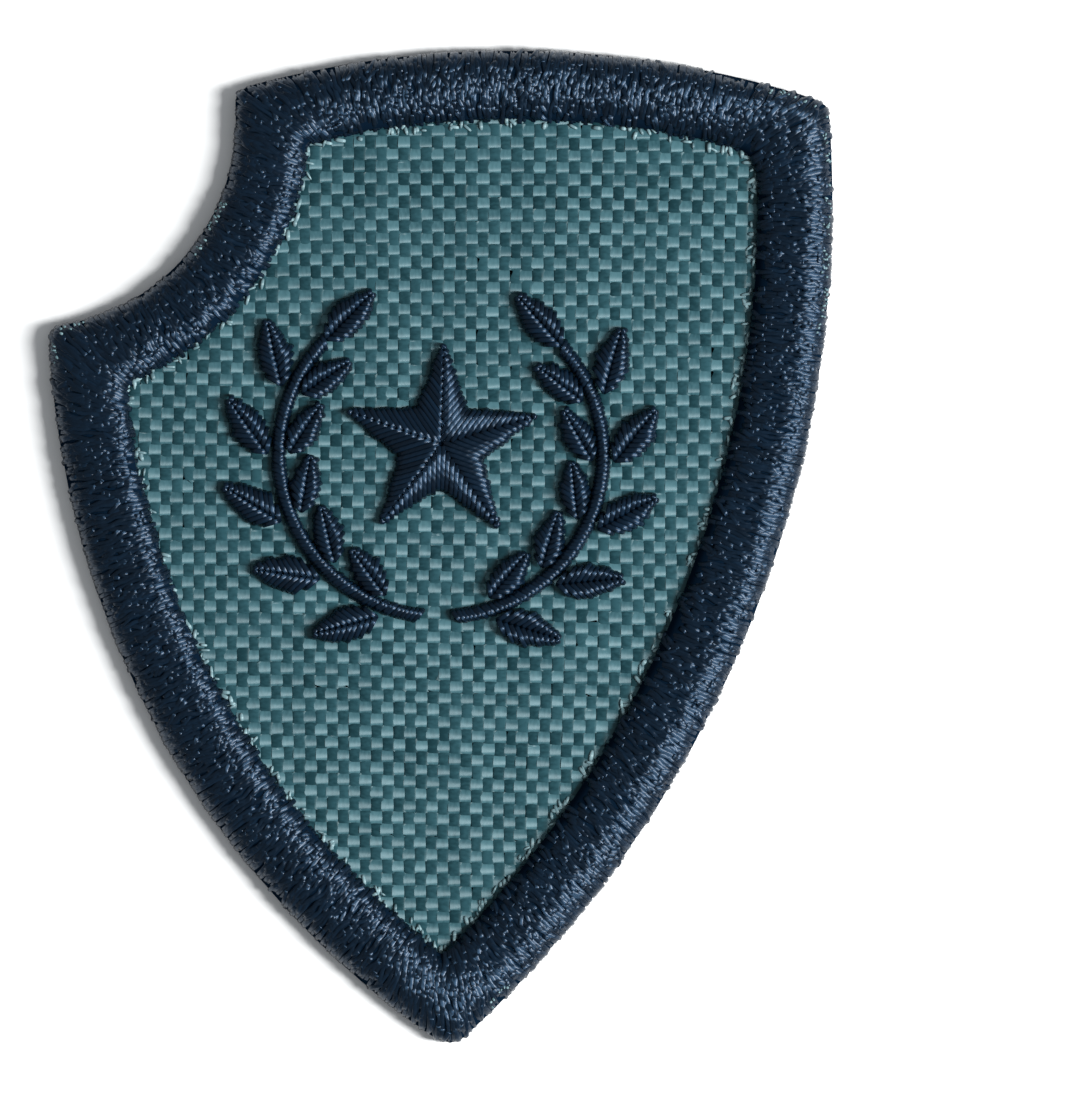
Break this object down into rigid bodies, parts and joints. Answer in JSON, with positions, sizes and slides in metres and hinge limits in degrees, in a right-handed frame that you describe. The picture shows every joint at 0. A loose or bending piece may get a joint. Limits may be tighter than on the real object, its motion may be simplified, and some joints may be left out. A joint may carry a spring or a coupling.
{
  "type": "embroidered cloth badge",
  "caption": "Flat embroidered cloth badge: a shield of coarse plain weave with a scooped upper corner, a raised satin-stitched border and a stitched star between leafy sprigs.",
  "frame": {"origin": "on the surface the badge lies on, under the middle of its bounding box", "axes": "+X to the right and +Y up on the badge's face, the point of the shield towards -Y; +Z out of the face"},
  "size_m": [0.0596, 0.0754, 0.0025],
  "materials": {
    "ground_cloth": "coarse plain-woven polyester, coated on the back, teal",
    "border_thread": "satin-stitched rayon embroidery thread, dark navy, silky",
    "device_thread": "satin-stitched rayon embroidery thread, dark navy, silky"
  },
  "bodies": {
    "root": {"ground_cloth": "ground_cloth", "border": "border_thread", "star": "device_thread", "right_stem": "device_thread", "left_stem": "device_thread", "right_leaf_1": "device_thread", "right_leaf_2": "device_thread", "right_leaf_3": "device_thread", "right_leaf_4": "device_thread", "right_leaf_5": "device_thread", "right_leaf_6": "device_thread", "right_leaf_7": "device_thread", "right_leaf_8": "device_thread", "right_leaf_9": "device_thread", "right_leaf_10": "device_thread", "right_leaf_11": "device_thread", "left_leaf_1": "device_thread", "left_leaf_2": "device_thread", "left_leaf_3": "device_thread", "left_leaf_4": "device_thread", "left_leaf_5": "device_thread", "left_leaf_6": "device_thread", "left_leaf_7": "device_thread", "left_leaf_8": "device_thread", "left_leaf_9": "device_thread", "left_leaf_10": "device_thread", "left_leaf_11": "device_thread"}
  },
  "joints": []
}
